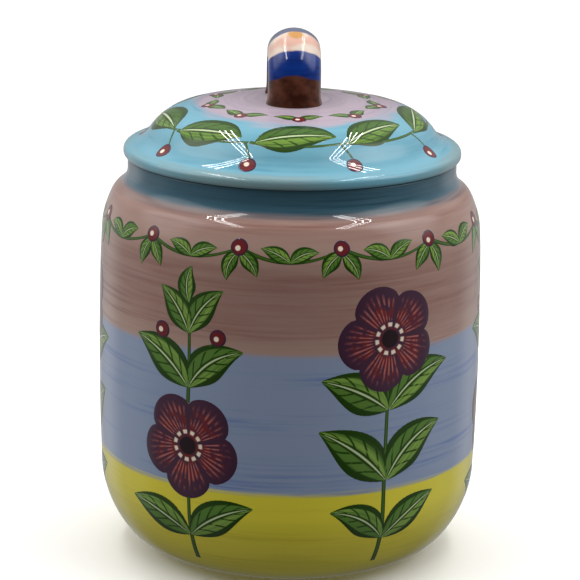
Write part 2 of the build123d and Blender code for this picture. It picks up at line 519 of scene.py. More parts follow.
# %% [markdown]
# ## Brushed bands
# The bands are banding-wheel work: a wide soft brush of watery colour is held against the turning
# jar, so each band is a bundle of fine horizontal streaks, darker where strokes overlap, and its edges
# are straight but frayed. Streaks are noise stretched far round the jar and short in height.

# %% Glaze of the jar's outside
PINK, ROSE = linear("#A5897D"), linear("#80554E")
LAVENDER, PERIWINKLE = linear("#8795AE"), linear("#6076A8")
YELLOW, OLIVE = linear("#D3C73E"), linear("#AE9E22")
# The neck's teal: partly its own deep coat, partly painted shade for the shadow under the lid's rim.
TEAL, DARK_TEAL = linear("#3E6070"), linear("#244652")

# The tops of the bands and the darker washes over the pink: each edge is its height and its softness,
# in millimetres. A streak frays them all.
YELLOW_TOP, LAVENDER_TOP, PINK_TOP = (51.0, 2.6), (114.8, 3.4), (175.2, 5.5)
WASH_FROM, WASH_TO, TOP_WASH_FROM = (123.0, 14.0), (158.0, 16.0), (166.0, 12.0)
STREAK_FRAY = 5.0

# A streak, a brush stroke and a patch of wash: their length round the jar, twice, and their height.
STREAK, STROKE, PATCH = (70.0, 70.0, 1.6), (120.0, 120.0, 9.0), (50.0, 50.0, 3.0)
FINE, BROAD = (4.0, 0.6), (3.0, 0.5)         # the detail and roughness of a streak and of a stroke

# The brush left more colour where a streak and a stroke are both past their edges in the noise.
LOADED_STREAK, LOADED_STROKE = (0.56, 0.24), (0.56, 0.30)
LIGHT_LOAD, SOFT_LOAD, SOFT_WASH = 0.45, 0.75, 0.75


def brushed_bands(tree, place):
    """Yellow, lavender, pink and teal bands by height, each streaked with its darker colour."""
    streak = grain(place, STREAK, *FINE)
    stroke = grain(place, STROKE, *BROAD, offset=7.0)
    height = frayed(add(tree, "SeparateXYZ", {0: place}).outputs[2], streak, STREAK_FRAY)
    load = both(past(streak, LOADED_STREAK), past(stroke, LOADED_STROKE))
    low_wash = both(past(height, WASH_FROM), within(height, WASH_TO))
    wash = add(tree, "Math", {0: low_wash, 1: past(height, TOP_WASH_FROM)}, operation="MAXIMUM")
    patches = both(wash, SOFT_WASH, grain(place, PATCH, detail=2.0))
    yellow = painted(YELLOW, (OLIVE, both(load, LIGHT_LOAD)))
    lavender = painted(LAVENDER, (PERIWINKLE, load))
    pink = painted(PINK, (ROSE, both(load, SOFT_LOAD)), (ROSE, patches))
    # The neck band's teal is darkened in part as painted shade under the lid's rim.
    teal = painted(TEAL, (DARK_TEAL, both(load, SOFT_LOAD)))
    return painted(
        yellow,
        (lavender, past(height, YELLOW_TOP)),
        (pink, past(height, LAVENDER_TOP)),
        (teal, past(height, PINK_TOP)),
    )


jar_glaze = glazed("brushed_bands_under_clear_glaze", brushed_bands)

# %% [markdown]
# The inside is glazed too, clear over the cream body, and a few specks of iron show through it. The
# foot ring and the two faces that meet at the neck are wiped bare before firing, or the glaze would
# weld them down. Bare earthenware is matt and slightly gritty.

# %% Cream glaze and bare clay
CREAM_BODY, WARM_CREAM, IRON = linear("#EFE3D2"), linear("#E2D2BA"), linear("#8A6A4C")
BARE_CLAY, SANDY_CLAY = linear("#D9C3A3"), linear("#BFA27C")
CLOUD_ACROSS, GRIT_ACROSS = (35.0, 35.0, 35.0), (0.6, 0.6, 0.6)
SPECKS_PER_MM, SPECK_EDGE = 0.11, (0.045, 0.02)


def cream_clay(tree, place):
    """Cream clay, a little cloudy, with sparse specks up to 0.8 mm wide."""
    ground = painted(CREAM_BODY, (WARM_CREAM, grain(place, CLOUD_ACROSS)))
    speck = add(tree, "TexVoronoi", {"Vector": place, "Scale": SPECKS_PER_MM}).outputs["Distance"]
    return painted(IRON, (ground, past(speck, SPECK_EDGE)))


def bare_clay():
    """Wiped, unglazed earthenware: matt, warm cream, with a grit of about 0.6 mm in colour and bump."""
    material, tree, place = new_material("bare_fired_earthenware")
    grit = grain(place, GRIT_ACROSS, detail=4.0, rough=0.7)
    bump = add(tree, "Bump", {"Height": grit, "Strength": 0.6, "Distance": 0.08 * MM})
    colour = painted(BARE_CLAY, (SANDY_CLAY, grit))
    shader = add(tree, "BsdfPrincipled", {"Base Color": colour, "Roughness": 0.85, "Normal": bump})
    add(tree, "OutputMaterial", {0: shader})
    return material


inside_glaze = glazed("clear_glaze_over_cream_earthenware", cream_clay)
clay = bare_clay()

# %% [markdown]
# ## The jar
# The jar's outline is turned about its axis. Each row of the mesh knows where it is on the outline, so
# the bare foot ring, the painted outside, the bare seat and the cream inside are slots of one skin.

# %% Jar
INSIDE, BARE = 1, 2          # slot 0 is the painted outside
WIPED_SEAT, WIPED_FOOT = 0.2 * MM, 0.35 * MM


def row_slots(outline, *rules):
    """The slot of each row of quads: the last rule whose test holds at the middle of the row."""
    r, z = ((outline[:-1] + outline[1:]) / 2).T
    slots = np.zeros(len(r), int)
    for test, number in rules:
        slots[test(r, z, np.arange(len(r)))] = number
    return slots


lip_row = int(np.argmax(jar_outline[:, 1]))
jar_slots = row_slots(
    jar_outline,
    (lambda r, z, row: row > lip_row, INSIDE),
    (lambda r, z, row: (z > SEAT_HEIGHT - WIPED_SEAT) | (z < WIPED_FOOT), BARE),
)
jar_piece = skin(
    "jar_glazed", turned_rings(jar_outline), "vessel", [jar_glaze, inside_glaze, clay],
    slots=jar_slots,
)
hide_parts("jar_body")

# %% [markdown]
# ## The lid
# The lid is banded on the same wheel, so its streaks are rings about the axis: turquoise on the rim
# and the slope, paler and greyer in patches on the rim's edge, and washed over with mauve on the
# crown. That pale grey tint is partly wear and partly painted sheen, standing for the reflection on
# the rim's rounded edge. The streaks turn into rings where the noise is fed with the radius in place
# of the height.

# %% Glaze of the lid
TURQUOISE, DEEP_TURQUOISE = linear("#699FB1"), linear("#4385A0")
MAUVE, PALE_MAUVE = linear("#8B7A8F"), linear("#AC9DA8")
# The rim edge's pale grey turquoise is partly wear and partly painted sheen for its reflection.
WORN_AND_SHEEN_TURQUOISE = linear("#78959A")
LID_STREAK, LID_STROKE = (60.0, 60.0, 2.0), (45.0, 45.0, 14.0)

# Edges by radius, in millimetres, and edges in the noise, each with its softness.
MAUVE_TO, MAUVE_FRAY, WORN_AND_SHEEN_FROM = (47.0, 9.0), 28.0, (73.8, 3.0)
DEEP_STREAK, DEEP_STROKE, DEEP_LOAD = (0.55, 0.26), (0.55, 0.30), 0.6
MAUVE_STREAK, WORN_AND_SHEEN_STROKE = (0.5, 0.5), (0.48, 0.4)


def brushed_rings(tree, place):
    """Turquoise, mauve crown and pale rim edge (wear and painted sheen), by radius, streaked in rings."""
    x, y, _ = add(tree, "SeparateXYZ", {0: place}).outputs
    radius = from_middle(x, y)
    by_radius = add(tree, "CombineXYZ", {0: x, 1: y, 2: radius})
    streak = grain(by_radius, LID_STREAK, *FINE)
    stroke = grain(by_radius, LID_STROKE, *BROAD, offset=3.0)
    load = both(past(streak, DEEP_STREAK), past(stroke, DEEP_STROKE), DEEP_LOAD)
    mauve = painted(PALE_MAUVE, (MAUVE, both(past(streak, MAUVE_STREAK), stroke)))
    turquoise = painted(TURQUOISE, (DEEP_TURQUOISE, load))
    slope = past(frayed(radius, stroke, MAUVE_FRAY), MAUVE_TO)
    # Painted sheen with wear: pale grey turquoise in patches on the rim's outer edge.
    worn_and_sheen = both(past(radius, WORN_AND_SHEEN_FROM), past(stroke, WORN_AND_SHEEN_STROKE))
    return painted(mauve, (turquoise, slope), (WORN_AND_SHEEN_TURQUOISE, worn_and_sheen))


lid_glaze = glazed("brushed_rings_under_clear_glaze", brushed_rings)

# %% Lid
rim_row = int(np.argmax(lid_outline[:, 0]))
lid_slots = row_slots(
    lid_outline,
    (lambda r, z, row: (row < rim_row) & (r < NECK_RADIUS), INSIDE),
    (lambda r, z, row: (z < SEAT_HEIGHT + WIPED_SEAT) & (r > RING_RADIUS) & (r < NECK_RADIUS), BARE),
)
lid_piece = skin(
    "lid_glazed", turned_rings(lid_outline), "cover", [lid_glaze, inside_glaze, clay],
    slots=lid_slots,
)
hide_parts("lid")

# %% [markdown]
# ## The loop handle
# The handle is a strap bent into an arch, round on the outside and flatter where the finger goes. Its
# slices are two half ovals, carried up one leg, over the arch and down the other. The feet swell
# by a square law over their last millimetres, where the clay was smoothed onto the lid, and run
# just under the crown's surface.

# %% Handle
SLICES_PER_LEG, SLICES_OVER = 9, 60


def strap_section():
    """The strap's section as outward and across: four oval quarters in one loop."""
    outside = oval_quarter((0, 0), HANDLE_OUTSIDE, HANDLE_WIDTH / 2)[::2]
    palm = oval_quarter((0, 0), HANDLE_PALM, HANDLE_WIDTH / 2, right=-1)[::2]
    return joined(outside, palm[::-1], palm * (1, -1), outside[::-1] * (1, -1))[:-1]


def strap_slices():
    """Slices of the strap along two legs and a half circle, at path angles a from 0 to 180 degrees.

    A slice lies in the plane of the outward direction (back cos a, up sin a) and the handle's width.
    It is the section, swollen on the legs by flare * (1 - height / flare height)^2 on every side. Its
    paint is the distance up the strap from the arch's foot and the place across, in millimetres.
    """
    leg = np.linspace(-HANDLE_ROOT, ARCH_HEIGHT - CROWN_HEIGHT, SLICES_PER_LEG)[:-1]
    over = np.linspace(0.0, math.pi, SLICES_OVER)
    angle = np.concatenate([0 * leg, over, 0 * leg + math.pi])[:, None]
    height = np.concatenate([CROWN_HEIGHT + leg, ARCH_HEIGHT + 0 * over, CROWN_HEIGHT + leg[::-1]])[:, None]
    share = 1 - np.clip((height - CROWN_HEIGHT) / FLARE_HEIGHT, 0.0, 1.0)
    section = strap_section()
    grown = 1 + HANDLE_FLARE * share**2 / np.linalg.norm(section, axis=1)
    outward = ARCH_RADIUS + section[:, 0] * grown
    across = section[:, 1] * grown
    reach_back = outward * np.cos(angle)
    x = across * math.cos(HANDLE_TURN) - reach_back * math.sin(HANDLE_TURN)
    y = across * math.sin(HANDLE_TURN) + reach_back * math.cos(HANDLE_TURN)
    z = height + outward * np.sin(angle)
    climb = (height - ARCH_HEIGHT + ARCH_RADIUS * np.minimum(angle, math.pi - angle)) / MM
    paint = np.stack([climb + 0 * across, across / MM, 0 * across], -1)
    return np.stack([x, y, z], -1)[None], paint[None]


# %% Glaze of the handle
BROWN, DARK_BROWN = linear("#643A2C"), linear("#3A1E13")
ROYAL_BLUE, NAVY = linear("#10327E"), linear("#0A2566")
CREAM, PEACH, OCHRE = linear("#D3C1B2"), linear("#CDA393"), linear("#BC8A4C")
DUSK_BLUE = linear("#585E74")

# Where each stripe starts: its distance up the strap, from an angle over the arch, and its softness.
BLUE_FROM, CREAM_FROM, DUSK_FROM = (
    (math.radians(angle) * ARCH_RADIUS / MM, softness)
    for angle, softness in ((11.0, 0.7), (41.0, 0.7), (75.0, 0.9))
)
STRIPE_WAVER = 1.6
BLUE_ARCH = 0.014            # how fast the blue's lower edge drops to the sides, per square of across
DAB_ACROSS, DAB_BELOW, DAB_FLATNESS, DAB_FRAY, DAB_EDGE = 0.3, 1.4, 1.9, 3.0, (3.5, 2.0)
MOTTLED, NAVY_STREAK, BLUSHED = (0.50, 0.3), (0.55, 0.4), (0.50, 0.25)       # edges in the noise
WAVER_ACROSS, SPOT_ACROSS, MOTTLE_ACROSS = (9.0, 9.0, 9.0), (6.0, 6.0, 6.0), (10.0, 10.0, 7.0)
LOAD_ACROSS, BLUSH_ACROSS = (16.0, 16.0, 2.0), (9.0, 9.0, 7.0)


def stroke_paint(tree):
    """The paint attribute, whole, and its three numbers."""
    paint = add(tree, "Attribute", attribute_name="paint").outputs["Vector"]
    return paint, *add(tree, "SeparateXYZ", {0: paint}).outputs


def striped_strap(tree, place):
    """Stripes by distance up the strap: brown, royal blue, cream dabbed with ochre, and dusk blue."""
    _, climb, across, _ = stroke_paint(tree)
    edge = frayed(climb, grain(place, WAVER_ACROSS, detail=2.0), STRIPE_WAVER)
    squared = add(tree, "Math", {0: across, 1: 2.0}, operation="POWER")
    arched = add(tree, "Math", {0: squared, 1: BLUE_ARCH, 2: edge}, operation="MULTIPLY_ADD")
    flattened = add(tree, "Math", {0: climb, 1: DAB_FLATNESS}, operation="MULTIPLY")
    centre = (DAB_ACROSS, (DUSK_FROM[0] - DAB_BELOW) * DAB_FLATNESS, 0.0)
    from_centre = {0: add(tree, "CombineXYZ", {0: across, 1: flattened}), 1: centre}
    away = add(tree, "VectorMath", from_centre, operation="DISTANCE").outputs["Value"]
    spot = grain(place, SPOT_ACROSS, detail=2.0, rough=0.5, offset=4.0)
    dab = within(frayed(away, spot, DAB_FRAY), DAB_EDGE)
    mottle = past(grain(place, MOTTLE_ACROSS), MOTTLED)
    load = past(grain(place, LOAD_ACROSS), NAVY_STREAK)
    blush = past(grain(place, BLUSH_ACROSS, detail=1.0, rough=0.4, offset=11.0), BLUSHED)
    blue = painted(ROYAL_BLUE, (NAVY, load))
    cream = painted(CREAM, (PEACH, blush), (OCHRE, dab))
    return painted(
        painted(BROWN, (DARK_BROWN, mottle)),
        (blue, past(arched, BLUE_FROM)),
        (cream, past(edge, CREAM_FROM)),
        (DUSK_BLUE, past(edge, DUSK_FROM)),
    )


handle_glaze = glazed("striped_strap_under_clear_glaze", striped_strap)
strap_rings, strap_paint = strap_slices()
handle_piece = skin("handle_glazed", strap_rings, "cover", [handle_glaze], strap_paint)
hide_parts("lid_handle")

# %% [markdown]
# ## Brushed motifs
# Sprigs with open blossoms are painted over the bands, with a garland round the shoulder and a wreath
# on the lid. Real underglaze lies on the wall as a film, a little proud where the brush was loaded.
# Here each stroke is such a film: it is drawn flat, then wrapped round the turned wall, and its
# underside runs inside the wall, so that no film has an open edge.

# %% Films of paint
STEM_PROUD, LEAF_PROUD, ROUND_PROUD = 0.05 * MM, 0.08 * MM, 0.11 * MM
LEVEL = 0.6                  # the sine from which a stroke's section is level
LEAF_POWER, STEM_TAPER, PETAL_POWER = 0.8, 0.35, 0.7
LEAF_ENDS = (0.015, 0.985)   # where the first and the last ring of a leaf lie on its midrib
LEAF_SIDES, STEM_SIDES = 20, 10

# The rings of a round film: how far out each lies, as a share of the radius, and how high.
ROUND_OUT = (0.2, 0.97, 1.0, 0.96, 0.85, 0.7, 0.55, 0.4, 0.25, 0.1)
ROUND_UP = (-1, -1, 0, 1, 1, 1, 1, 1, 1, 1)


def wrapped(outline, flat, turn, start):
    """Wraps flat drawings round a turned wall.

    A flat point (across, along, proud) goes along the outline from the start, then round the axis by
    across / radius from the turn, and out along the wall's normal by its third number.
    """
    length = length_along(outline)
    slope = np.gradient(outline, length, axis=0)
    slope /= np.linalg.norm(slope, axis=1, keepdims=True)
    along = start[:, None, None] + flat[..., 1]
    r, z, slope_r, slope_z = (np.interp(along, length, column) for column in (*outline.T, *slope.T))
    angle = turn[:, None, None] + flat[..., 0] / r
    reach = r + flat[..., 2] * slope_z
    return np.stack([reach * np.cos(angle), reach * np.sin(angle), z - flat[..., 2] * slope_r], -1)


def strokes(line, half_width, own, proud, sides):
    """Films drawn flat along centre lines: rings of (across, along, proud), and their paint.

    A ring goes round by t: it is half_width cos t wide and proud sin t / level high, held to proud
    where the sine is past the level, so that the film is flat but for its edge. The paint is the share
    of the line, cos t, and the stroke's own number, which gives each stroke another part of the noise.
    """
    heading = np.gradient(line, axis=1)
    heading /= np.linalg.norm(heading, axis=2, keepdims=True)
    beside = np.stack([heading[..., 1], -heading[..., 0]], -1)
    t = np.linspace(0.0, 2 * math.pi, sides, endpoint=False)
    flat = line[:, :, None] + beside[:, :, None] * (half_width[..., None] * np.cos(t))[..., None]
    rise = proud * np.clip(np.sin(t) / LEVEL, -1, 1)
    rings = np.concatenate([flat, np.broadcast_to(rise[:, None], flat.shape[:3] + (1,))], -1)
    share = np.linspace(0.0, 1.0, line.shape[1])
    paint = np.broadcast_arrays(share[None, :, None], np.cos(t)[None, None], own[:, None, None])
    return rings, np.stack(paint, -1)


def bowed(length, lean, bow, share):
    """Midribs that lean from upright to the right, over length, and bow aside by 4 bow s (1 - s) of it."""
    reach, aside = length[:, None] * share, (length * bow)[:, None] * 4 * share * (1 - share)
    sine, cosine = np.sin(lean)[:, None], np.cos(lean)[:, None]
    return np.stack([reach * sine + aside * cosine, reach * cosine - aside * sine], -1)


def leaves(length, width, lean, bow, own, rows=18):
    """Pointed oval leaves: width sin(pi s^0.8) across at share s of a bowed midrib."""
    share = np.linspace(*LEAF_ENDS, rows)
    half = width[:, None] / 2 * np.sin(math.pi * share**LEAF_POWER)
    return strokes(bowed(length, lean, bow, share), half, own, LEAF_PROUD, LEAF_SIDES)


def stems(length, width, lean, bow, own, rows=48):
    """Stems: strokes a little narrower at the far end."""
    share = np.linspace(0.0, 1.0, rows)
    half = width[:, None] / 2 * (1 - STEM_TAPER * share)
    return strokes(bowed(length, lean, bow, share), half, own, STEM_PROUD, STEM_SIDES)


def rounds(radius, petals, notch, turn, around):
    """Round films with petals: radius (1 - notch (1 - |cos(petals a / 2)|^0.7)) at angle a.

    Rows run from under the middle out to the edge, and back over the top to the middle. The paint is
    the place in the film as a share of the radius, and the share of the way out to its own edge.
    """
    out, up = (np.array(values)[None, :, None] for values in (ROUND_OUT, ROUND_UP))
    a = np.linspace(0.0, 2 * math.pi, around, endpoint=False)
    reach = out * (1 - notch * (1 - np.abs(np.cos(petals * a / 2)) ** PETAL_POWER))
    a_turned, size = a + turn[:, None, None], radius[:, None, None]
    x, y = reach * np.cos(a_turned), reach * np.sin(a_turned)
    rings = np.stack(np.broadcast_arrays(size * x, size * y, ROUND_PROUD * up), -1)
    paint = np.stack(np.broadcast_arrays(reach * np.cos(a) + 0 * x, reach * np.sin(a), out), -1)
    return rings, paint


# %% [markdown]
# The brushwork inside each stroke follows its paint attribute. A leaf has a light and a dark half, a
# pale midrib between dark side veins, and a dark edge where the second brush went round. A blossom has
# dark gaps between its petals, fine rays, and a ring of cream dots about its eye. A berry has one dot.

# %% Colours of the leaves and stems
LIGHT_GREEN, MID_GREEN, DARK_GREEN = linear("#7E9E48"), linear("#557A33"), linear("#24400F")
WREATH_LIGHT, WREATH_MID = linear("#6A8A36"), linear("#3F611F")
PALE_VEIN = linear("#B9C99A")

# Edges inside a leaf or a stem: shares of the way across or of the midrib, and edges in the noise.
VEIN_CREST, VEIN_REACH, VEIN_START = (0.80, 0.16), (0.72, 0.2), (0.12, 0.1)
MIDRIB_SIDE, MIDRIB_END, SHADE_SIDE = (0.050, 0.04), (0.93, 0.05), (0.17, 0.08)
DARK_FROM, LIGHT_FROM, CORE_SIDE = (0.66, 0.12), (0.0, 0.12), (0.5, 0.5)
BRUSHED_OVER, VEIN_BRUSH = (0.55, 0.25), (0.40, 0.2)
VEINS, VEIN_SLANT, EDGE_FRAY = 5.0, -0.35, 0.28
BRUSH_ACROSS, CORE_ACROSS = (0.9, 0.16, 0.03), (0.12, 0.3, 0.03)


def waves(value, count):
    """A triangle wave with this many peaks per unit: 0 at each whole step and 1 half way between."""
    steps = add(value.id_data, "Math", {0: value, 1: 2.0 * count}, operation="MULTIPLY")
    return add(value.id_data, "Math", {0: steps, 1: 1.0}, operation="PINGPONG")


def green_leaf(tree, place, light_green, mid_green):
    """A brushed green leaf, by share of the midrib and share across."""
    paint, share, across, _ = stroke_paint(tree)
    away = add(tree, "Math", {0: across}, operation="ABSOLUTE")
    brush = grain(paint, BRUSH_ACROSS)
    slant = add(tree, "Math", {0: away, 1: VEIN_SLANT, 2: share}, operation="MULTIPLY_ADD")
    veins = both(
        past(waves(slant, VEINS), VEIN_CREST), within(away, VEIN_REACH),
        past(share, VEIN_START), past(brush, VEIN_BRUSH),
    )
    midrib = both(within(away, MIDRIB_SIDE), within(share, MIDRIB_END))
    return painted(
        mid_green,
        (light_green, past(across, LIGHT_FROM)),
        (mid_green, past(brush, BRUSHED_OVER)),
        (DARK_GREEN, past(frayed(away, brush, EDGE_FRAY), DARK_FROM)),
        (DARK_GREEN, veins),
        (DARK_GREEN, within(away, SHADE_SIDE)),
        (PALE_VEIN, midrib),
    )


def green_line(tree, place):
    """A dark green stem with a paler core where the brush ran thin."""
    paint, _, across, _ = stroke_paint(tree)
    away = add(tree, "Math", {0: across}, operation="ABSOLUTE")
    core = both(within(away, CORE_SIDE), grain(paint, CORE_ACROSS))
    return painted(DARK_GREEN, (MID_GREEN, core))


leaf_green = glazed("green_underglaze_strokes", green_leaf, LIGHT_GREEN, MID_GREEN)
wreath_green = glazed("deep_green_underglaze_strokes", green_leaf, WREATH_LIGHT, WREATH_MID)
stem_green = glazed("dark_green_underglaze_line", green_line)

# %% Colours of the blossoms and berries
PLUM, BURGUNDY, ROSY = linear("#43293C"), linear("#6E2628"), linear("#A5605A")
EYE_BROWN, DEEP_RED, DOT_CREAM = linear("#24141B"), linear("#6B2528"), linear("#EAD9C6")
PETALS, RAYS, EYE_DOTS = 5, 45, 11

# Edges inside a blossom and a berry, as shares of the radius, on the waves, and in the noise.
EYE_EDGE, DOTS_FROM, DOTS_TO = (0.17, 0.04), (0.225, 0.03), (0.295, 0.03)
GAP_FROM, RAYS_FROM, RAYS_TO = (0.22, 0.1), (0.34, 0.1), (0.78, 0.3)
BLUSH_TO, RIM_FROM = (0.72, 0.4), (0.90, 0.10)
GAP_CREST, RAY_CREST, DOT_CREST = (0.86, 0.14), (0.62, 0.3), (0.45, 0.25)
BLUSH_BRUSH, RAY_BRUSH = (0.5, 0.3), (0.48, 0.2)
PETAL_ACROSS, RAY_ACROSS = (4.0, 4.0, 4.0), (0.22, 0.22, 0.4)
DOT_PLACE, DOT_EDGE, BERRY_RIM = (-0.12, 0.16, 0.0), (0.30, 0.10), (0.78, 0.2)


def red_blossom(tree, place):
    """Plum and burgundy petals with fine rays, dark gaps, and cream dots about the eye."""
    paint, x, y, out = stroke_paint(tree)
    away = from_middle(x, y)
    angle = add(tree, "Math", {0: y, 1: x}, operation="ARCTAN2")
    turn = add(tree, "Math", {0: angle, 1: 2 * math.pi}, operation="DIVIDE")
    brush = past(grain(place, PETAL_ACROSS), BLUSH_BRUSH)
    ray_brush = past(grain(paint, RAY_ACROSS), RAY_BRUSH)
    gaps = both(past(waves(turn, PETALS), GAP_CREST), past(away, GAP_FROM))
    rays = both(past(waves(turn, RAYS), RAY_CREST), past(away, RAYS_FROM), within(out, RAYS_TO), ray_brush)
    dots = both(past(away, DOTS_FROM), within(away, DOTS_TO), past(waves(turn, EYE_DOTS), DOT_CREST))
    return painted(
        PLUM,
        (BURGUNDY, both(brush, within(out, BLUSH_TO))),
        (ROSY, rays),
        (PLUM, gaps),
        (PLUM, past(out, RIM_FROM)),
        (EYE_BROWN, within(away, EYE_EDGE)),
        (DOT_CREAM, dots),
    )


def red_berry(tree, place):
    """A deep red berry, darker round the edge, with one cream dot."""
    paint, _, _, out = stroke_paint(tree)
    moved = add(tree, "VectorMath", {0: paint, 1: DOT_PLACE}, operation="SUBTRACT")
    x, y, _ = add(tree, "SeparateXYZ", {0: moved}).outputs
    dot = within(from_middle(x, y), DOT_EDGE)
    return painted(DEEP_RED, (PLUM, past(out, BERRY_RIM)), (DOT_CREAM, dot))


petal_red = glazed("burgundy_underglaze_petals", red_blossom)
berry_red = glazed("red_underglaze_berries", red_berry)

# %% [markdown]
# Six sprigs stand round the jar, short and tall in turn. A tall one carries its blossom high, over
# three pairs of leaves. A short one carries it low, and its stem goes on to two more pairs, two
# berries and a last leaf. Each kind is written once, as rows of turn from its own stem, height, lean
# and size, and small random changes of size and lean keep the repeats from looking stamped.

# %% Placing brushwork
SEED = 5
dice = np.random.default_rng(SEED)
LENGTH_VARIES, WIDTH_VARIES, LEAN_VARIES, BOW_VARIES, ROUND_VARIES = 0.06, 0.08, 0.07, 0.4, 0.05
LEAF_BOW = -0.10


def varied(values, by):
    """Values changed at random by up to this share, as a hand changes them."""
    return values * (1 + by * dice.uniform(-1.0, 1.0, values.shape))


def repeated(*sets):
    """Rows at each of their turns about the axis, set after set: a row's own turn is added, in degrees."""
    parts = []
    for rows, turns in sets:
        copies = np.tile(np.array(rows, float), (len(turns), 1))
        copies[:, 0] += np.repeat(turns, len(rows))
        parts.append(copies)
    return np.concatenate(parts)


def even_turns(first, count):
    """Turns about the axis in even steps from the first, in degrees."""
    return first + 360.0 / count * np.arange(count)


def mirrored(*rows):
    """Rows and their mirror images: the turn and the lean, columns 0 and 2, change sign."""
    return [tuple(-v if k in (0, 2) else v for k, v in enumerate(row)) for row in rows] + list(rows)


def lay(name, wall, rows, drawing, colour):
    """Lays films on a wall as one piece: a row's turn and place say where its film goes."""
    body, outline, up = wall
    rings, paint = drawing
    films = wrapped(outline, rings, np.radians(rows[:, 0]), up(rows[:, 1]))
    return skin(name, films, body, [colour], paint)


def paint_leaves(name, wall, rows, green):
    """Leaves from rows of turn, place, lean, length and width."""
    lay(name, wall, rows, leaves(
        varied(rows[:, 3], LENGTH_VARIES) * MM, varied(rows[:, 4], WIDTH_VARIES) * MM,
        np.radians(varied(rows[:, 2], LEAN_VARIES)),
        LEAF_BOW * np.sign(rows[:, 2]) * varied(np.ones(len(rows)), BOW_VARIES), dice.random(len(rows)),
    ), green)


def paint_stems(name, wall, rows):
    """Stems from rows of turn, place, lean, length, width and bow."""
    lay(name, wall, rows, stems(
        rows[:, 3] * MM, rows[:, 4] * MM, np.radians(rows[:, 2]), rows[:, 5], dice.random(len(rows)),
    ), stem_green)


def paint_rounds(name, wall, rows, colour, petals=0, notch=0.0, around=28):
    """Blossoms or berries from rows of turn, place and radius."""
    radius = varied(rows[:, 2], ROUND_VARIES) * MM
    lay(name, wall, rows, rounds(radius, petals, notch, dice.uniform(0.0, 2.0, len(rows)), around), colour)


# %% Sprigs
NECK_PART = 3.0 * MM         # how much of the neck still counts as wall
wall_outline = jar_outline[np.argmax(jar_outline[:, 0] > FOOT_RADIUS):]
wall_outline = wall_outline[:np.argmax(wall_outline[:, 1] > SHOULDER_TOP + NECK_PART)]


def up_wall(height):
    """How far along the wall's outline a height in millimetres lies."""
    return np.interp(height * MM, wall_outline[:, 1], length_along(wall_outline))


FIRST_SPRIG, SPRIG_PAIRS = -120.0, 3
short_turns = even_turns(FIRST_SPRIG, SPRIG_PAIRS)
tall_turns = short_turns + 180.0 / SPRIG_PAIRS
short_leaves = mirrored((0, 27, 66, 35, 17), (0, 97, 58, 35, 17), (0, 122, 40, 27, 13))
short_leaves += [(0, 136, 4, 17, 9)]
tall_leaves = mirrored((0, 27, 58, 33, 16), (0, 55, 50, 40, 20), (0, 88, 64, 38, 18))
short_stems = [(0, 14, 0, 40, 2.4, 0.01), (0, 90, 0, 48, 2.0, 0.01)] + mirrored((0, 107, 46, 19, 1.3, 0.0))
tall_stems = [(0, 14, 0, 92, 2.4, -0.01)]
BLOSSOM_RADIUS, BERRY_RADIUS, PETAL_NOTCH = 24.5, 3.9, 0.22
blossoms = repeated(([(0, 70, BLOSSOM_RADIUS)], short_turns), ([(0, 121, BLOSSOM_RADIUS)], tall_turns))
BERRY_ASIDE, BERRY_HEIGHT = math.degrees(14.5 * MM / BODY_RADIUS), 121.5
sprig_berries = [(turn, BERRY_HEIGHT, BERRY_RADIUS) for turn in (-BERRY_ASIDE, BERRY_ASIDE)]

# %% [markdown]
# The garland hangs in swags between berries, with small leaves under each berry and in each swag.

# %% Garland, and the painting of the jar
SWAGS = 12
GARLAND_HEIGHT, SWAG_DIP = 163.0, 0.13
SHOULDER_INSET = 2.0         # how far inside the body's radius the shoulder is at the garland
SWAG_LENGTH = 2 * math.pi / SWAGS * (BODY_RADIUS / MM - SHOULDER_INSET)
half_swag = 180.0 / SWAGS
swag_turns = even_turns(FIRST_SPRIG + half_swag, SWAGS)
swag_stems = [(0, GARLAND_HEIGHT, 90, SWAG_LENGTH, 1.8, SWAG_DIP)]
swag_leaves = mirrored((0, GARLAND_HEIGHT - 2, 150, 14, 7.5))
swag_leaves += [
    (half_swag + row[0], *row[1:])
    for row in mirrored((0, GARLAND_HEIGHT - SWAG_DIP * SWAG_LENGTH, 66, 14, 7.5))
]
stem_rows = repeated((short_stems, short_turns), (tall_stems, tall_turns), (swag_stems, swag_turns))
leaf_rows = repeated((short_leaves, short_turns), (tall_leaves, tall_turns), (swag_leaves, swag_turns))
berries = repeated((sprig_berries, short_turns), ([(0, GARLAND_HEIGHT, BERRY_RADIUS)], swag_turns))
jar_wall = ("vessel", wall_outline, up_wall)
paint_stems("painted_stems", jar_wall, stem_rows)
paint_leaves("painted_leaves", jar_wall, leaf_rows, leaf_green)
paint_rounds("painted_berries", jar_wall, berries, berry_red)
paint_rounds("painted_blossoms", jar_wall, blossoms, petal_red, PETALS, PETAL_NOTCH, around=80)

# %% [markdown]
# A wreath of nine broad leaves lies round the lid's side, all pointing one way, with a berry in each
# gap near the rim, and a smaller ring of berries and leaflets lies on the crown about the handle.

# %% Wreath on the lid
ROWS_ABOVE_EDGE = 6
dome_outline = lid_outline[rim_row + ROWS_ABOVE_EDGE:]


def up_dome(radius):
    """How far along the lid's outline a radius in millimetres lies, from the rim up to the crown."""
    return np.interp(-radius * MM, -dome_outline[:, 0], length_along(dome_outline))


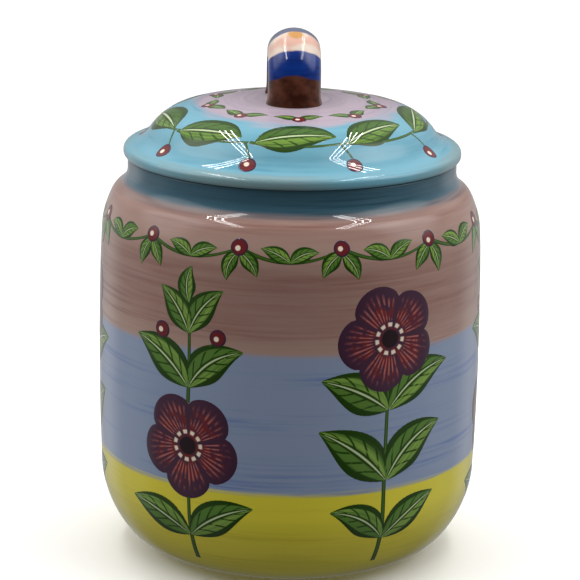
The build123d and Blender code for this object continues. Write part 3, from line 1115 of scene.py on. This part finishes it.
WREATH, FIRST_LEAF = 9, -106.0
WREATH_RADIUS, CROWN_RING, RIM_BERRIES, CROWN_BERRY = 61.0, 40.0, 69.0, 3.3
wreath_turns = even_turns(FIRST_LEAF, WREATH)
crown_turns = wreath_turns + 180.0 / WREATH
wreath_stems = [(-2, WREATH_RADIUS, 90, 42, 1.8, 0.03), (-4, WREATH_RADIUS, 152, 9, 1.3, 0.0)]
wreath_leaves = repeated(
    ([(0, WREATH_RADIUS, 86, 37, 18)], wreath_turns),
    (mirrored((0, CROWN_RING, 72, 12, 6.5)), crown_turns),
)
wreath_berries = repeated(
    ([(-0.5, RIM_BERRIES, BERRY_RADIUS)], wreath_turns), ([(0, CROWN_RING, CROWN_BERRY)], crown_turns),
)
dome = ("cover", dome_outline, up_dome)
paint_stems("lid_stems", dome, repeated((wreath_stems, wreath_turns)))
paint_leaves("lid_leaves", dome, wreath_leaves, wreath_green)
paint_rounds("lid_berries", dome, wreath_berries, berry_red)

# %% [markdown]
# ## Light
# The jar stands in a tent of pale cloth that is dark in front, where the camera looks in, so that no
# grey haze lies over the dark paint. Soft lights behind the cloth to both sides give the sheen of the
# shoulder and the flanks. Two bars of three lamp strips hang overhead from front to back and draw the
# fine triple highlights on the lid and shoulder. Broad lamps that the glaze doesn't mirror stand for
# the light that the room returns from all sides.

# %% Floor
HALF = 6.0                   # half the floor's side, in metres
floor_mesh = bpy.data.meshes.new("floor")
floor_mesh.from_pydata(
    [(-HALF, -HALF, 0), (HALF, -HALF, 0), (HALF, HALF, 0), (-HALF, HALF, 0)], [], [(0, 1, 2, 3)],
)
floor = placed("floor", floor_mesh)
floor_material = bpy.data.materials.new("pale_floor")
floor_material.use_nodes = True
floor_inputs = floor_material.node_tree.nodes["Principled BSDF"].inputs
floor_inputs["Base Color"].default_value = linear("#FDFCFA")
floor_inputs["Roughness"].default_value = 0.7
floor_mesh.materials.append(floor_material)
floor.visible_diffuse = False
floor.visible_glossy = False


# %% Lamps
def lamp(name, place, aim, width, length, power, lie=(0.0, 1.0, 0.0)):
    """A flat area lamp at a place, facing its aim, with its length along lie where it can."""
    data = bpy.data.lights.new(name, "AREA")
    data.shape = "RECTANGLE"
    data.size, data.size_y = width, length
    data.energy = power
    piece = placed(name, data)
    piece.visible_camera = False
    forward = np.array(aim, float) - np.array(place, float)
    forward /= np.linalg.norm(forward)
    right = np.cross(forward, lie)
    right /= np.linalg.norm(right)
    up = np.cross(right, forward)
    turn = Matrix(np.stack([right, up, -forward], 1).tolist()).to_4x4()
    piece.matrix_world = Matrix.Translation(place) @ turn
    return piece


# The strips of a bar: their number, the gap between two, where they hang and aim, and each strip.
STRIPS, STRIP_GAP, STRIP_HEIGHT, STRIP_DEPTH = 3, 0.033, 0.82, -0.02
AIM_HEIGHT, AIM_INWARD = 0.2, 0.5
STRIP_WIDTH, STRIP_LENGTH, STRIP_WATTS, STRIP_SPREAD = 0.006, 0.85, 0.56, 0.11
for sign, name, nearest in ((-1, "left", 0.277), (1, "right", 0.258)):
    for k in range(STRIPS):
        x = sign * (nearest + STRIP_GAP * k)
        lamp(
            f"strip_{name}_{k}", (x, STRIP_DEPTH, STRIP_HEIGHT), (x * AIM_INWARD, STRIP_DEPTH, AIM_HEIGHT),
            STRIP_WIDTH, STRIP_LENGTH, STRIP_WATTS, lie=(-sign * STRIP_SPREAD, 1.0, 0.0),
        )

# The broad lamps: name, place, aim, width, length and watts.
for row in (
    ("backdrop", (0.0, 1.9, 1.2), (0.0, 1.5, 0.0), 3.0, 1.6, 14.0),
    ("overhead", (0.0, 0.1, 1.0), (0.0, 0.1, 0.0), 1.0, 0.8, 3.2),
    ("side_left", (-0.9, -0.1, 0.5), (0.0, 0.0, 0.12), 0.6, 0.6, 1.6),
    ("side_right", (0.9, -0.1, 0.5), (0.0, 0.0, 0.12), 0.6, 0.6, 1.4),
    ("heel_fill", (0.0, -0.45, 0.01), (0.0, 0.0, 0.03), 0.8, 0.25, 0.7),
):
    lamp(*row).visible_glossy = False
print("lamps", sorted(light.name for light in bpy.data.lights))

# %% Tent
world = bpy.data.worlds.new("tent")
bpy.context.scene.world = world
world.use_nodes = True
tent = world.node_tree
tent.nodes.clear()
direction = add(tent, "TexCoord").outputs["Generated"]

# The cloth's own brightness, in front and elsewhere, and where it changes from the front to the back.
FRONT_LEVEL, CLOTH_LEVEL = 0.012, 0.16
FRONT_TO, CLOTH_FROM = -0.9, -0.35

# Soft lights behind the cloth: azimuth from the front, height, outer and inner angle, and peak.
GLOWS = (
    (-92, 34, 30, 6, 1.6), (88, 36, 30, 6, 2.0), (-70, 52, 27, 5, 0.9), (72, 52, 27, 5, 1.1),
    (-130, 35, 36, 8, 0.5), (130, 35, 36, 8, 0.45), (180, 35, 36, 8, 0.2), (180, 78, 40, 10, 0.25),
    (-120, -12, 36, 8, 0.26), (120, -12, 36, 8, 0.2), (-152, -13, 32, 8, 0.36), (152, -13, 32, 8, 0.3),
)


def glow(azimuth, height, wide, narrow, peak):
    """Light about an axis, all angles in degrees: full inside the narrow angle, none past the wide one.

    The axis is (sin a cos h, -cos a cos h, sin h) for the azimuth a and the height h.
    """
    a, h, outer, inner = np.radians([azimuth, height, wide, narrow])
    axis = (math.sin(a) * math.cos(h), -math.cos(a) * math.cos(h), math.sin(h))
    near = add(tent, "VectorMath", {0: direction, 1: axis}, operation="DOT_PRODUCT").outputs["Value"]
    return fade(near, math.cos(outer), math.cos(inner), 0.0, peak)


depth = add(tent, "SeparateXYZ", {0: direction}).outputs[1]
brightness = fade(depth, FRONT_TO, CLOTH_FROM, FRONT_LEVEL, CLOTH_LEVEL)
for light in GLOWS:
    brightness = add(tent, "Math", {0: brightness, 1: glow(*light)}, operation="ADD")
add(tent, "OutputWorld", {0: add(tent, "Background", {"Color": linear("#FFFFFF"), "Strength": brightness})})
bpy.context.scene.view_settings.view_transform = "Standard"
print("lights behind the cloth", len(GLOWS))
